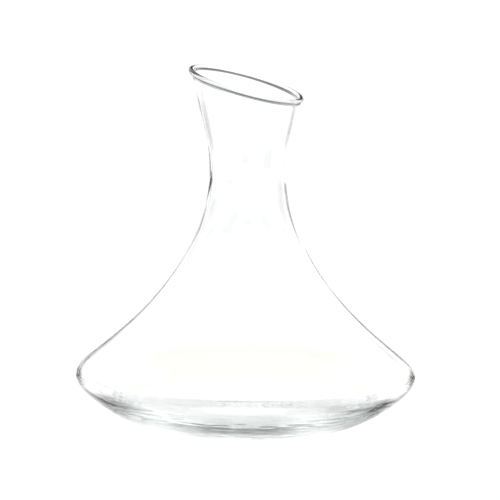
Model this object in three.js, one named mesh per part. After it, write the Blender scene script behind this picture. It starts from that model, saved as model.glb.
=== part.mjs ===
// Wide-bowl wine decanter of clear blown glass with a slanted mouth.
//
// The whole vessel is one body of glass: a thick base with a shallow hollow under it,
// a low wide bowl, a concave shoulder that sweeps into a narrow neck, and a flared
// mouth cut at a slant and finished with a rounded, fire-polished lip.
//
// Units are millimetres, +Z is up. The origin is on the vessel's axis, in the plane
// that it stands on. The mouth is high at -X and low at +X, and XZ is the mirror plane.

import * as THREE from 'three';
import { mergeVertices } from 'three/addons/utils/BufferGeometryUtils.js';

// ---- driving dimensions -------------------------------------------------------------

const BOWL_DIAMETER = 220;         // widest line of the bowl
const SEGMENTS = 60;               // facets round the axis, a multiple of four

const FOOT_OUTER_RADIUS = 59;      // flat ring that the glass stands on
const FOOT_INNER_RADIUS = 48;
const PUNT_DEPTH = 2.6;            // hollow under the base, at the axis

const RIM_HEIGHT_ON_AXIS = 220.6;  // middle of the lip, where its plane crosses the axis
const RIM_SLANT_DEG = 15.2;        // plane of the lip against the horizontal
const LIP_THICKNESS = 3.3;         // rounded lip, across
const LIP_OUTWARD = 0.4;           // lip's middle, outward of the middle of the wall
const SLANT_START_HEIGHT = 164;    // below this the vessel is a true body of revolution

const BASE_THICKNESS = 4.6;        // glass on the axis, above the punt

// Outside of the glass, from the foot ring to above the lip: [radius, height].
const OUTSIDE = [
  [FOOT_OUTER_RADIUS, 0.0],
  [65.5, 0.9],
  [72.8, 3.0],
  [80.6, 6.2],
  [87.8, 9.8],
  [94.2, 13.8],
  [100.0, 18.4],
  [104.9, 22.9],
  [108.3, 27.2],
  [BOWL_DIAMETER / 2, 31.8],
  [109.2, 35.4],
  [106.6, 39.3],
  [101.6, 44.1],
  [94.2, 50.1],
  [87.0, 56.1],
  [80.2, 62.0],
  [73.6, 68.2],
  [67.2, 74.5],
  [61.1, 81.2],
  [55.3, 88.1],
  [49.9, 95.2],
  [44.9, 102.6],
  [40.4, 110.2],
  [36.4, 117.9],
  [32.9, 125.9],
  [30.1, 133.9],
  [27.8, 142.0],
  [26.3, 150.2],
  [25.4, 158.4],
  [25.3, 166.6],
  [25.9, 174.9],
  [27.1, 183.4],
  [29.0, 192.0],
  [31.3, 201.0],
  [33.7, 210.0],
  [35.8, 218.9],
  [37.7, 227.4],
  [39.2, 235.6],
];

// Thickness of the wall, across it: [height of the outside, thickness].
const WALL = [
  [0.0, 5.4],
  [4.0, 4.8],
  [12.0, 3.7],
  [24.0, 3.0],
  [42.0, 2.6],
  [68.0, 2.1],
  [110.0, 1.9],
  [164.0, 2.0],
  [204.0, 2.2],
  [240.0, 2.4],
];

// ---- profile ------------------------------------------------------------------------

function table(rows, x) {
  if (x <= rows[0][0]) return rows[0][1];
  for (let i = 1; i < rows.length; i += 1) {
    if (x <= rows[i][0]) {
      const t = (x - rows[i - 1][0]) / (rows[i][0] - rows[i - 1][0]);
      return rows[i - 1][1] + t * (rows[i][1] - rows[i - 1][1]);
    }
  }
  return rows[rows.length - 1][1];
}

const outside = new THREE.SplineCurve(OUTSIDE.map(([r, z]) => new THREE.Vector2(r, z)));
const fine = outside.getPoints(OUTSIDE.length * 24);

// Outer radius of the upper part at a height, from the widest line up.
function outerRadius(height) {
  const start = fine.findIndex((p) => p.y > 34);
  for (let i = start + 1; i < fine.length; i += 1) {
    if (fine[i].y >= height) {
      const a = fine[i - 1];
      const b = fine[i];
      return a.x + ((height - a.y) / (b.y - a.y)) * (b.x - a.x);
    }
  }
  return fine[fine.length - 1].x;
}

// Point and inward normal of the outside at a share of its stations.
function outsideAt(index) {
  const u = index / (OUTSIDE.length - 1);
  const p = outside.getPoint(u);
  const t = outside.getTangent(u);
  return { p, inward: new THREE.Vector2(-t.y, t.x) };
}

const topIndex = (() => {
  // Station, as a fraction, at which the outside meets the underside of the lip.
  const lipUnder = RIM_HEIGHT_ON_AXIS - LIP_THICKNESS * 0.62;
  const i = OUTSIDE.findIndex(([, z]) => z > lipUnder);
  const [, z0] = OUTSIDE[i - 1];
  const [, z1] = OUTSIDE[i];
  return i - 1 + (lipUnder - z0) / (z1 - z0);
})();

const profile = [];
const add = (r, z) => profile.push(new THREE.Vector2(r, z));

// Underside, from the axis to the foot ring.
add(0, PUNT_DEPTH);
for (const share of [0.3, 0.6, 0.85]) {
  const r = FOOT_INNER_RADIUS * share;
  add(r, PUNT_DEPTH * (0.5 + 0.5 * Math.cos(Math.PI * share)));
}
add(FOOT_INNER_RADIUS, 0);
add(FOOT_OUTER_RADIUS, 0);

// Outside wall.
const OUTER_STEPS = 34;
for (let i = 1; i <= OUTER_STEPS; i += 1) {
  const { p } = outsideAt((topIndex * i) / OUTER_STEPS);
  add(p.x, p.y);
}

// Rounded lip: most of a circle that bulges a little past both faces of the wall.
const lipBottom = outsideAt(topIndex);
const wallTop = table(WALL, lipBottom.p.y);
const lipCentre = new THREE.Vector2(
  lipBottom.p.x + (lipBottom.inward.x * wallTop) / 2 + LIP_OUTWARD,
  RIM_HEIGHT_ON_AXIS,
);
const LIP_STEPS = 8;
for (let i = 0; i <= LIP_STEPS; i += 1) {
  const a = THREE.MathUtils.degToRad(-28 + (236 * i) / LIP_STEPS);
  add(
    lipCentre.x + 0.5 * LIP_THICKNESS * Math.cos(a),
    lipCentre.y + 0.5 * LIP_THICKNESS * Math.sin(a),
  );
}

// Inside wall, down to the floor of the bowl.
const INNER_STEPS = 30;
for (let i = INNER_STEPS; i >= 1; i -= 1) {
  const { p, inward } = outsideAt((topIndex * i) / INNER_STEPS);
  const t = table(WALL, p.y);
  add(p.x + inward.x * t, p.y + inward.y * t);
}

// Floor of the bowl, from its edge to the axis.
const floorEdge = profile[profile.length - 1].clone();
const floorCentre = PUNT_DEPTH + BASE_THICKNESS;
for (const share of [0.86, 0.68, 0.48, 0.26]) {
  const r = floorEdge.x * share;
  const rise = (floorEdge.y - 5.4) * share ** 6;
  add(r, 5.4 + (floorCentre - 5.4) * (0.5 + 0.5 * Math.cos(Math.PI * share)) + rise);
}
add(0, floorCentre);

// ---- body ---------------------------------------------------------------------------

// Height of the lip's middle at an angle round the axis: the point where the slanted
// plane meets the flared wall.
function rimHeight(angle) {
  const slope = Math.tan(THREE.MathUtils.degToRad(RIM_SLANT_DEG));
  let z = RIM_HEIGHT_ON_AXIS;
  for (let i = 0; i < 40; i += 1) {
    z = RIM_HEIGHT_ON_AXIS - slope * (outerRadius(z) - wallTop / 2) * Math.cos(angle);
  }
  return z;
}

function glassGeometry() {
  const lathe = new THREE.LatheGeometry(profile, SEGMENTS);
  lathe.rotateX(Math.PI / 2); // the lathe's axis is Y; the vessel's is Z
  const position = lathe.getAttribute('position');
  const span = RIM_HEIGHT_ON_AXIS - LIP_THICKNESS - SLANT_START_HEIGHT;
  for (let i = 0; i < position.count; i += 1) {
    const x = position.getX(i);
    const y = position.getY(i);
    const z = position.getZ(i);
    if (z <= SLANT_START_HEIGHT) continue;
    // The neck above the slant's start is drawn out towards the high side of the mouth
    // and shortened towards the low side, and it keeps to the same flared surface.
    const angle = Math.atan2(y, x);
    const share = Math.min((z - SLANT_START_HEIGHT) / span, 1);
    const lift = (rimHeight(angle) - RIM_HEIGHT_ON_AXIS) * share;
    const zOut = Math.min(z, RIM_HEIGHT_ON_AXIS);
    const r = Math.hypot(x, y);
    const moved = r + outerRadius(zOut + lift) - outerRadius(zOut);
    position.setXYZ(i, (x / r) * moved, (y / r) * moved, z + lift);
  }
  lathe.deleteAttribute('normal');
  lathe.deleteAttribute('uv');
  const merged = mergeVertices(lathe, 1e-3);
  merged.computeVertexNormals();
  return merged;
}

const clearGlass = new THREE.MeshStandardMaterial({
  name: 'clear_glass',
  color: 0xeef3f0,
  roughness: 0.03,
  metalness: 0,
  transparent: true,
  opacity: 0.35,
});

const glass = new THREE.Mesh(glassGeometry(), clearGlass);
glass.name = 'glass_vessel';

const decanter = new THREE.Group();
decanter.name = 'wine_decanter';
decanter.add(glass);

export default decanter;
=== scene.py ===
import math

import bpy
from mathutils import Matrix, Vector, noise


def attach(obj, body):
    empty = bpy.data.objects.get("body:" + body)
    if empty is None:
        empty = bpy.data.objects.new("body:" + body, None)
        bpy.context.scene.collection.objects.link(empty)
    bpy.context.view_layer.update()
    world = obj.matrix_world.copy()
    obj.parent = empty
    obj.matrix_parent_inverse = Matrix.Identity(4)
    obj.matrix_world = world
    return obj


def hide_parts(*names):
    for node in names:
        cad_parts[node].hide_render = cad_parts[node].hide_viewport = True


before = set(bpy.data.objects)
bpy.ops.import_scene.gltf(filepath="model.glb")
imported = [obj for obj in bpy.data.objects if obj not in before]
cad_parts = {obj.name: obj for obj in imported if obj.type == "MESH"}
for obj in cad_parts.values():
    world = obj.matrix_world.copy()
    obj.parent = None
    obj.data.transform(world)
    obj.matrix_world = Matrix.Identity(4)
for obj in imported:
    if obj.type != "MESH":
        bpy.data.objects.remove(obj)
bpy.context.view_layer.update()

# ---------------------------------------------------------------- sizes, mm
SEGMENTS = 288
FOOT_OUTER_RADIUS = 59.0
FOOT_INNER_RADIUS = 48.0
PUNT_DEPTH = 2.6
RIM_HEIGHT_ON_AXIS = 220.6
RIM_SLANT = math.radians(15.2)
LIP_THICKNESS = 3.3
LIP_OUTWARD = 0.4
SLANT_START = 164.0
FLOOR_CENTRE = 7.2

# outline of the outside, radius and height
OUTSIDE = [
    (59, 0), (65.5, 0.9), (72.8, 3.0), (80.6, 6.2), (87.8, 9.8), (94.2, 13.8), (100.0, 18.4), (104.9, 22.9),
    (108.3, 27.2), (110, 31.8), (109.2, 35.4), (106.6, 39.3), (101.6, 44.1), (94.2, 50.1), (87.0, 56.1),
    (80.2, 62.0), (73.6, 68.2), (67.2, 74.5), (61.1, 81.2), (55.3, 88.1), (49.9, 95.2), (44.9, 102.6),
    (40.4, 110.2), (36.4, 117.9), (32.9, 125.9), (30.1, 133.9), (27.8, 142.0), (26.3, 150.2), (25.4, 158.4),
    (25.3, 166.6), (25.9, 174.9), (27.1, 183.4), (29.0, 192.0), (31.3, 201.0), (33.7, 210.0), (35.8, 218.9),
    (37.7, 227.4), (39.2, 235.6),
]
# thickness of the wall by the outside's height
WALL = [(0, 5.4), (4, 4.8), (12, 3.7), (24, 3.0), (42, 2.6), (68, 2.1), (110, 1.9), (164, 2.0), (204, 2.2), (240, 2.4)]


# ---------------------------------------------------------------- outline
def catmull(points, t):
    """A point of the smooth curve through the points, t from 0 to 1."""
    n = len(points)
    p = (n - 1) * t
    i = min(int(p), n - 1)
    w = p - i
    a = points[max(i - 1, 0)]
    b = points[i]
    c = points[min(i + 1, n - 1)]
    d = points[min(i + 2, n - 1)]
    out = []
    for k in (0, 1):
        v0, v1 = (c[k] - a[k]) * 0.5, (d[k] - b[k]) * 0.5
        out.append(
            (2 * b[k] - 2 * c[k] + v0 + v1) * w ** 3
            + (-3 * b[k] + 3 * c[k] - 2 * v0 - v1) * w * w
            + v0 * w
            + b[k]
        )
    return out


def smoothed(line, passes):
    """The line with its points eased towards their neighbours; the foot and the widest line stay where they are."""
    line = [list(p) for p in line]
    for _ in range(passes):
        old = [p[:] for p in line]
        for i in range(1, len(line) - 1):
            z = old[i][1]
            hold = 1.0 if z > 50 else max(0.0, (z - 38) / 12)
            for k in (0, 1):
                mid = (old[i - 1][k] + old[i + 1][k]) / 2
                line[i][k] += (mid - old[i][k]) * 0.5 * hold
    return line


STEPS = 12
fine = [catmull(OUTSIDE, j / (STEPS * (len(OUTSIDE) - 1))) for j in range(STEPS * (len(OUTSIDE) - 1) + 1)]
fine = smoothed(fine, 60)


def outer_radius(z):
    """Radius of the outside at a height above the widest line."""
    for a, b in zip(fine, fine[1:]):
        if a[1] > 60 and a[1] <= z <= b[1]:
            return a[0] + (b[0] - a[0]) * (z - a[1]) / (b[1] - a[1])
    a, b = fine[-2], fine[-1]
    return a[0] + (b[0] - a[0]) * (z - a[1]) / (b[1] - a[1])


def wall_at(z):
    for a, b in zip(WALL, WALL[1:]):
        if z <= b[0]:
            s = (z - a[0]) / (b[0] - a[0])
            s = s * s * (3 - 2 * s) * 0.35 + s * 0.65
            return a[1] + (b[1] - a[1]) * s
    return WALL[-1][1]


RIM_RADIUS = outer_radius(RIM_HEIGHT_ON_AXIS)
RIM_WALL = wall_at(RIM_HEIGHT_ON_AXIS)


def normals(line):
    """Unit vectors to the inside of the vessel, one for each point of the line."""
    out = []
    for i in range(len(line)):
        a, b = line[max(i - 1, 0)], line[min(i + 1, len(line) - 1)]
        dx, dz = b[0] - a[0], b[1] - a[1]
        size = math.hypot(dx, dz)
        out.append((-dz / size, dx / size))
    return out


def profile():
    """The closed outline from the punt's centre round to the floor's centre, as (radius, height, zone)."""
    pts = []
    for i in range(14):
        r = FOOT_INNER_RADIUS * i / 14
        pts.append((r, PUNT_DEPTH * (0.5 + 0.5 * math.cos(math.pi * r / FOOT_INNER_RADIUS)), "punt"))
    for i in range(8):
        r = FOOT_INNER_RADIUS + (FOOT_OUTER_RADIUS - FOOT_INNER_RADIUS) * i / 8
        pts.append((r, 0.0, "foot"))
    top = RIM_HEIGHT_ON_AXIS - 0.62 * LIP_THICKNESS
    last = max(i for i, p in enumerate(fine) if p[1] <= top or p[1] < 60)
    wall_line = fine[: last + 1]
    inward = normals(wall_line)
    for p in wall_line:
        pts.append((p[0], p[1], "outside"))
    centre_r = RIM_RADIUS - RIM_WALL / 2 + LIP_OUTWARD
    rad = LIP_THICKNESS / 2
    for j in range(21):
        a = math.radians(-28 + 236 * j / 20)
        pts.append((centre_r + rad * math.cos(a), RIM_HEIGHT_ON_AXIS + rad * math.sin(a), "lip"))
    inner = []
    for i in range(last, -1, -1):
        p, n = wall_line[i], inward[i]
        t = wall_at(p[1])
        inner.append((p[0] + n[0] * t, p[1] + n[1] * t))
    for p in inner:
        pts.append((p[0], p[1], "inside"))
    edge_r, edge_z = inner[-1]
    base = WALL[0][1]
    for j in range(1, 25):
        share = 1 - j / 25
        z = base + (FLOOR_CENTRE - base) * (0.5 + 0.5 * math.cos(math.pi * share)) + (edge_z - base) * share ** 6
        pts.append((edge_r * share, z, "floor"))
    pts.append((0.0, FLOOR_CENTRE, "floor"))
    return pts


def rim_height(angle):
    """Height of the slanted rim's middle at this angle round the axis."""
    z = RIM_HEIGHT_ON_AXIS
    for _ in range(30):
        z = RIM_HEIGHT_ON_AXIS - math.tan(RIM_SLANT) * (outer_radius(z) - RIM_WALL / 2) * math.cos(angle)
    return z


def ease(lo, hi, x):
    s = min(max((x - lo) / (hi - lo), 0.0), 1.0)
    return s * s * (3 - 2 * s)


def drawn_noise(s, a, turn, pitch, seed):
    """Noise from -1 to 1 that runs long round the vessel (turn) and short along its outline (pitch, mm)."""
    return noise.noise(Vector((math.cos(a) * turn + seed, math.sin(a) * turn, s / pitch + seed)))


def ripple(zone, s, z, a):
    """How far the hand-worked surface stands off its true shape, mm, positive into the glass. It runs round the vessel in long drawn-out streaks."""
    if zone == "inside" or zone == "floor":
        low = 1 - ease(15, 30, z)
        streaks = 0.105 * drawn_noise(s, a, 7.0, 2.6, 3.0) + 0.090 * drawn_noise(s, a, 3.5, 6.5, 11.0)
        return low * streaks + 0.04 * drawn_noise(s, a, 1.3, 40.0, 23.0)
    if zone == "outside":
        low = (1 - ease(12, 24, z)) * ease(0.5, 2.5, z)
        streaks = 0.11 + 0.075 * drawn_noise(s, a, 8.0, 2.4, 31.0) + 0.080 * drawn_noise(s, a, 4.5, 5.5, 43.0)
        return low * streaks + 0.03 * (0.6 + drawn_noise(s, a, 1.5, 45.0, 57.0)) * ease(2, 10, z)
    return 0.0


INSIDE_CAD = 0.9998  # keeps the ripples of the widest line inside the CAD box


def vessel():
    pts = profile()
    way = [0.0]
    for a, b in zip(pts, pts[1:]):
        way.append(way[-1] + math.hypot(b[0] - a[0], b[1] - a[1]))
    into = []
    for i in range(len(pts)):
        a, b = pts[max(i - 1, 0)], pts[min(i + 1, len(pts) - 1)]
        dx, dz = b[0] - a[0], b[1] - a[1]
        size = math.hypot(dx, dz) or 1
        into.append((-dz / size, dx / size))
    verts = [(0.0, 0.0, pts[0][1] / 1000)]
    for k in range(SEGMENTS):
        angle = 2 * math.pi * k / SEGMENTS
        lift_all = rim_height(angle) - RIM_HEIGHT_ON_AXIS
        ca, sa = math.cos(angle), math.sin(angle)
        for i in range(1, len(pts) - 1):
            r, z, zone = pts[i]
            d = ripple(zone, way[i], z, angle)
            r, z = r + into[i][0] * d, z + into[i][1] * d
            if z > SLANT_START:
                share = min((z - SLANT_START) / (RIM_HEIGHT_ON_AXIS - LIP_THICKNESS - SLANT_START), 1)
                lift = lift_all * share
                at = min(z, RIM_HEIGHT_ON_AXIS)
                r += outer_radius(at + lift) - outer_radius(at)
                z += lift
            r *= INSIDE_CAD
            verts.append((r * ca / 1000, r * sa / 1000, z / 1000))
    verts.append((0.0, 0.0, pts[-1][1] / 1000))
    rows = len(pts) - 2
    faces = []
    for k in range(SEGMENTS):
        here, there = 1 + k * rows, 1 + ((k + 1) % SEGMENTS) * rows
        faces.append((0, there, here))
        for i in range(rows - 1):
            faces.append((here + i, there + i, there + i + 1, here + i + 1))
        faces.append((here + rows - 1, there + rows - 1, len(verts) - 1))
    mesh = bpy.data.meshes.new("glass_body")
    mesh.from_pydata(verts, [], faces)
    mesh.update()
    mesh.shade_smooth()
    o = bpy.data.objects.new("glass_body", mesh)
    bpy.context.scene.collection.objects.link(o)
    return o


# ---------------------------------------------------------------- glass
def glass_material():
    m = bpy.data.materials.new("clear_blown_glass")
    m.use_nodes = True
    nt = m.node_tree
    nt.nodes.clear()
    out = nt.nodes.new("ShaderNodeOutputMaterial")
    p = nt.nodes.new("ShaderNodeBsdfPrincipled")
    p.inputs["Transmission Weight"].default_value = 1.0
    p.inputs["IOR"].default_value = 1.5
    p.inputs["Roughness"].default_value = 0.0
    nt.links.new(p.outputs["BSDF"], out.inputs["Surface"])
    where = nt.nodes.new("ShaderNodeTexCoord")
    # the faint cords and streaks of blown glass, drawn out round the vessel
    stretch = nt.nodes.new("ShaderNodeMapping")
    stretch.inputs["Scale"].default_value = (1.0, 1.0, 3.0)
    nt.links.new(where.outputs["Object"], stretch.inputs["Vector"])
    streaks = nt.nodes.new("ShaderNodeTexNoise")
    streaks.inputs["Scale"].default_value = 38.0
    streaks.inputs["Detail"].default_value = 1.5
    streaks.inputs["Roughness"].default_value = 0.45
    nt.links.new(stretch.outputs["Vector"], streaks.inputs["Vector"])
    bump = nt.nodes.new("ShaderNodeBump")
    bump.inputs["Strength"].default_value = 0.08
    bump.inputs["Distance"].default_value = 0.0003
    nt.links.new(streaks.outputs["Fac"], bump.inputs["Height"])
    nt.links.new(bump.outputs["Normal"], p.inputs["Normal"])
    tint = nt.nodes.new("ShaderNodeValToRGB")
    tint.color_ramp.elements[0].position = 0.3
    tint.color_ramp.elements[0].color = (0.985, 0.992, 0.990, 1)
    tint.color_ramp.elements[1].position = 0.7
    tint.color_ramp.elements[1].color = (0.998, 1.0, 0.999, 1)
    nt.links.new(streaks.outputs["Fac"], tint.inputs["Fac"])
    nt.links.new(tint.outputs["Color"], p.inputs["Base Color"])
    soak = nt.nodes.new("ShaderNodeVolumeAbsorption")
    soak.inputs["Color"].default_value = (0.66, 0.71, 0.70, 1)
    soak.inputs["Density"].default_value = 6.0
    nt.links.new(soak.outputs["Volume"], out.inputs["Volume"])
    return m


body = vessel()
body.data.materials.append(glass_material())
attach(body, "root")
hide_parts("glass_vessel")

# ---------------------------------------------------------------- camera
TARGET = Vector((0.0, 0.0, 0.115))
AZIMUTH, ELEVATION, ROLL = math.radians(17.6), math.radians(7.5), math.radians(0.759)
DISTANCE = 3.0
back = Vector((
    math.sin(AZIMUTH) * math.cos(ELEVATION),
    -math.cos(AZIMUTH) * math.cos(ELEVATION),
    math.sin(ELEVATION),
))
camera = bpy.data.objects.new("camera", bpy.data.cameras.new("camera"))
bpy.context.scene.collection.objects.link(camera)
camera.data.sensor_width = 36.0
camera.data.lens = 4646.7 * 36.0 / 500.0
camera.data.clip_start, camera.data.clip_end = 0.05, 40.0
camera.data.shift_x = 2.9 / 500
camera.data.shift_y = -1.54 / 500
turn = back.to_track_quat("Z", "Y").to_matrix().to_4x4()
camera.matrix_world = Matrix.Translation(TARGET + back * DISTANCE) @ turn @ Matrix.Rotation(ROLL, 4, "Z")
bpy.context.scene.camera = camera

# ---------------------------------------------------------------- stage
# STAGE-START
# The camera sees a plain white floor and world, as in the photograph. The light that reaches the glass is painted vertex
# by vertex on a table top, a dome and three cards, which the camera itself doesn't see. Their dark patches are neither
# computed shadows nor real objects: they are placed and levelled so that the glass is dark where the photograph's is,
# and their bearings are also chosen to keep the views at azimuth 0, 45, 90 and 225 clean.
# Directions are told from the line of sight: ahead is 0 degrees and left of it is positive.
LOOK = math.atan2(math.cos(AZIMUTH), -math.sin(AZIMUTH))


def band(x, lo, lo_full, hi_full, hi):
    """1 between lo_full and hi_full, easing to 0 at lo and hi."""
    return ease(lo, lo_full, x) * (1 - ease(hi_full, hi, x))


def mix(a, b, s):
    return a + (b - a) * s


TABLE_EDGE = 0.140


def table_light(r, phi):
    """Brightness and warmth of the table top at a distance from the axis and a bearing."""
    u, v = r * math.cos(math.radians(phi)), r * math.sin(math.radians(phi))
    past = ease(TABLE_EDGE - 0.003, TABLE_EDGE + 0.003, u)
    level = mix(1.30, 1.12, past)
    # patches close to the vessel, painted where the photograph's glass is dark: before the foot and beside it
    level = mix(level, 0.28, band(r, 0.070, 0.084, 0.092, 0.106) * ease(154, 170, abs(phi)))
    level = mix(level, 0.46, band(v, 0.060, 0.092, 0.112, 0.142) * band(u, -0.16, -0.08, -0.04, 0.02))
    level = mix(level, 0.46, band(-v, 0.045, 0.075, 0.105, 0.130) * band(u, -0.16, -0.09, -0.03, 0.02))
    # patches farther out, painted to give the glass the photograph's dark lines
    level = mix(level, 0.05, band(u, 1.05, 1.15, 2.4, 2.9) * band(v, 0.57, 0.62, 1.5, 1.8))
    level = mix(level, 0.05, band(r, 0.27, 0.31, 0.50, 0.56) * band(phi, 32, 36, 58, 66))
    level = mix(level, 0.15, band(r, 0.28, 0.32, 0.58, 0.64) * band(-phi, 26, 29, 50, 58))
    level = mix(level, 0.45, band(r, 1.7, 2.1, 5.5, 6.5) * band(-phi, 22.5, 24.5, 42, 50))
    level = mix(level, 0.45, band(r, 1.9, 2.3, 9.0, 10.0) * band(-phi, 8.5, 9.5, 12, 13.2))
    level = mix(level, 0.40, band(r, 1.9, 2.3, 9.0, 10.0) * band(phi, 9, 10, 14, 17))
    back = ease(1.6, 2.0, r)
    level = mix(level, 0.08, back * band(phi, 88, 96, 150, 168))
    level = mix(level, 0.15, back * band(-phi, 52, 64, 125, 136))
    level = mix(level, 0.25, band(r, 0.42, 0.52, 2.2, 2.8) * max(band(-phi, 104, 112, 132, 138), band(phi, 161, 165, 178, 180)))
    return level, 2.4 * past * (1 - ease(0.16, 0.62, u))


def tent_light(phi, rise):
    """Brightness and warmth of the tent by bearing and elevation, degrees."""
    side = abs(phi)
    level = mix(1.25, 0.12, ease(48, 80, side))
    level = mix(level, 0.35, max(band(phi, 20, 22, 31, 34), band(phi, 8.5, 10, 14, 17)) * (1 - ease(4, 6, rise)))
    level = mix(level, 0.38, max(band(-phi, 24, 27, 43, 48), band(-phi, 8, 9.5, 12, 13.5)) * (1 - ease(4, 8, rise)))
    level = mix(level, 0.30, (1 - ease(7, 11, side)) * band(rise, 1, 3, 10, 13))
    level = mix(level, 0.10, band(phi, -23, -19, 7, 11) * band(rise, 10, 13, 21, 25))
    level = mix(level, 0.70, (1 - ease(8, 12, side)) * ease(22, 28, rise))
    level = mix(level, 0.80, ease(50, 62, rise))
    # pale gaps at the bearings seen behind the glass from azimuth 90 and 0, so that those views stay clean
    level = mix(level, 1.15, max(band(phi, 56, 61, 84, 89), band(-phi, 13, 14.5, 21.5, 23.5)) * (1 - ease(3.5, 6, rise)))
    return level, 0.5


def painted(name, verts, faces, lights):
    """A stage surface that glows with the brightness given for each of its vertices, unseen by the camera."""
    mesh = bpy.data.meshes.new(name)
    mesh.from_pydata(verts, [], faces)
    paint = mesh.color_attributes.new("light", "FLOAT_COLOR", "POINT")
    for i, (level, warm) in enumerate(lights):
        cool = max(0.0, 0.6 - level) * 0.10
        paint.data[i].color = (level * (1 - cool), level * (1 - 0.008 * warm), level * (1 - 0.030 * warm + cool), 1)
    m = bpy.data.materials.new(name + "_light")
    m.use_nodes = True
    nt = m.node_tree
    nt.nodes.clear()
    out = nt.nodes.new("ShaderNodeOutputMaterial")
    e = nt.nodes.new("ShaderNodeEmission")
    c = nt.nodes.new("ShaderNodeVertexColor")
    c.layer_name = "light"
    nt.links.new(c.outputs["Color"], e.inputs["Color"])
    nt.links.new(e.outputs["Emission"], out.inputs["Surface"])
    m.cycles.emission_sampling = "NONE"
    mesh.materials.append(m)
    o = bpy.data.objects.new(name, mesh)
    bpy.context.scene.collection.objects.link(o)
    o.visible_camera = False
    return o


FAR = 9.0


def polar(r, phi, z):
    a = LOOK + math.radians(phi)
    return (r * math.cos(a), r * math.sin(a), z)


def make_table_light():
    parts = 360
    radii = [0.004 * (i + 1) for i in range(75)]
    while radii[-1] < FAR:
        radii.append(radii[-1] * 1.045)
    verts, lights = [(0, 0, -0.0002)], [table_light(0, 0)]
    for r in radii:
        for k in range(parts):
            phi = -180 + 360 * k / parts
            verts.append(polar(r, phi, -0.0002))
            lights.append(table_light(r, phi))
    faces = [(0, 1 + k, 1 + (k + 1) % parts) for k in range(parts)]
    for i in range(len(radii) - 1):
        a, b = 1 + i * parts, 1 + (i + 1) * parts
        faces += [(a + k, b + k, b + (k + 1) % parts, a + (k + 1) % parts) for k in range(parts)]
    return painted("table_light", verts, faces, lights)


def make_tent():
    parts, rises = 240, [0, 0.5, 1, 1.5, 2, 2.5, 3, 3.5, 4, 4.5, 5, 6, 7, 8, 9] + list(range(10, 66, 2)) + [70, 75, 80, 85]
    verts, lights = [], []
    for rise in rises:
        e = math.radians(rise)
        for k in range(parts):
            phi = -180 + 360 * k / parts
            verts.append(polar(FAR * math.cos(e), phi, FAR * math.sin(e) - 0.01))
            lights.append(tent_light(phi, rise))
    verts.append((0, 0, FAR))
    lights.append(tent_light(0, 90))
    faces = [
        (i * parts + k, i * parts + (k + 1) % parts, (i + 1) * parts + (k + 1) % parts, (i + 1) * parts + k)
        for i in range(len(rises) - 1)
        for k in range(parts)
    ]
    last = (len(rises) - 1) * parts
    faces += [(last + k, last + (k + 1) % parts, len(verts) - 1) for k in range(parts)]
    return painted("tent", verts, faces, lights)


def make_card(name, r, phi0, phi1, heights, levels):
    """A low upright card round part of the table, fading out at its ends."""
    parts = 24
    verts, lights = [], []
    for z, level in zip(heights, levels):
        for k in range(parts + 1):
            phi = phi0 + (phi1 - phi0) * k / parts
            verts.append(polar(r, phi, z))
            lights.append((mix(1.1, level, band(k, 0, 3, parts - 3, parts)), 0.0))
    n = parts + 1
    faces = [(i * n + k, i * n + k + 1, (i + 1) * n + k + 1, (i + 1) * n + k) for i in range(len(heights) - 1) for k in range(parts)]
    return painted(name, verts, faces, lights)


make_table_light()
make_tent()
make_card("card_left", 0.56, 21, 64, (0.0, 0.030, 0.042, 0.052), (0.03, 0.03, 0.35, 1.1))
make_card("bar_left", 0.60, 21.5, 33, (0.079, 0.083, 0.097, 0.102), (1.1, 0.05, 0.05, 1.1))
make_card("card_right", 0.56, -24, -58, (0.0, 0.040, 0.051, 0.061), (0.10, 0.10, 0.50, 1.1))


def plain_white(name, strength):
    m = bpy.data.materials.new(name)
    m.use_nodes = True
    nt = m.node_tree
    nt.nodes.clear()
    out = nt.nodes.new("ShaderNodeOutputMaterial")
    e = nt.nodes.new("ShaderNodeEmission")
    e.inputs["Color"].default_value = (1, 1, 1, 1)
    e.inputs["Strength"].default_value = strength
    nt.links.new(e.outputs["Emission"], out.inputs["Surface"])
    return m


floor_mesh = bpy.data.meshes.new("floor")
floor_mesh.from_pydata([polar(12, 45 * k, -0.0006) for k in range(8)], [], [tuple(range(8))])
floor_mesh.materials.append(plain_white("floor_white", 1.05))
floor = bpy.data.objects.new("floor", floor_mesh)
bpy.context.scene.collection.objects.link(floor)

world = bpy.data.worlds.new("studio")
bpy.context.scene.world = world
world.use_nodes = True
world.node_tree.nodes["Background"].inputs["Color"].default_value = (1.05, 1.05, 1.05, 1)

# STAGE-END
scene = bpy.context.scene
scene.view_settings.view_transform = "Standard"
scene.cycles.max_bounces = 32
scene.cycles.transmission_bounces = 32
scene.cycles.glossy_bounces = 32
